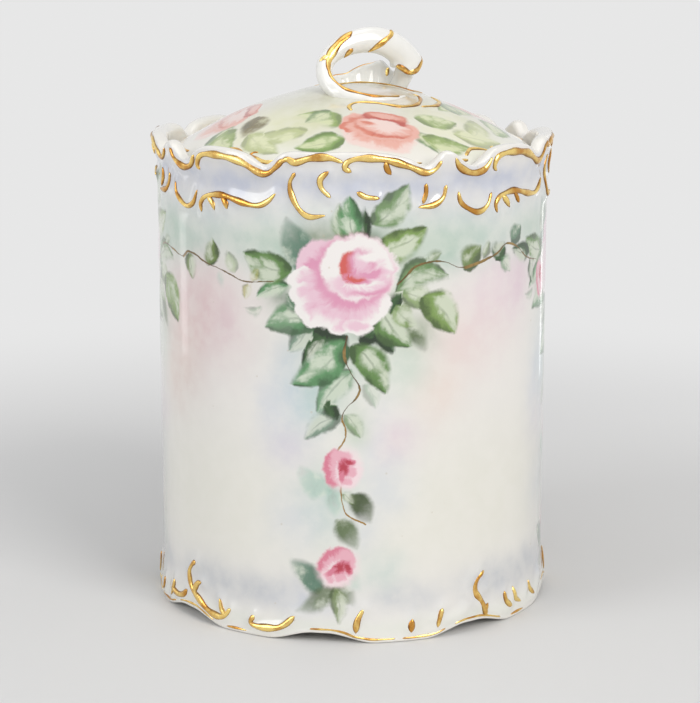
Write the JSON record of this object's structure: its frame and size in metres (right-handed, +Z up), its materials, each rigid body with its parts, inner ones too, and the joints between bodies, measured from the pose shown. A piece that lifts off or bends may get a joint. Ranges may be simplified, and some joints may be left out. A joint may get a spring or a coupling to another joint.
{
  "type": "lidded porcelain jar",
  "caption": "Straight-walled porcelain keeper jar with a scalloped rim and foot, raised gilt scrolls, painted rose garlands and a domed set-in lid with a loop handle.",
  "frame": {"origin": "on the table under the middle of the foot", "axes": "+Z up along the jar's axis; the front panel of the decoration faces -Y"},
  "size_m": [0.1264, 0.1264, 0.1793],
  "materials": {
    "painted_porcelain": "gloss glaze over enamel painting",
    "lid_porcelain": "gloss glaze over enamel painting",
    "handle_porcelain": "gloss glaze with gilt bands",
    "gilding": "burnished gilding on raised paste"
  },
  "bodies": {
    "jar": {"jar_body": "painted_porcelain", "rim_long_scrolls": "gilding", "rim_hook_scrolls": "gilding", "rim_cup_scrolls": "gilding", "band_long_scrolls": "gilding", "band_c_scrolls": "gilding", "band_cup_scrolls": "gilding", "foot_s_scrolls": "gilding", "foot_cup_scrolls": "gilding", "foot_sprigs": "gilding", "foot_ticks": "gilding"},
    "lid": {"lid": "lid_porcelain", "lid_handle": "handle_porcelain"}
  },
  "joints": [
    {"name": "lid_lift", "type": "slide", "parent": "jar", "child": "lid", "axis": [0, 0, 1], "range_m": [0, 0.1]}
  ]
}
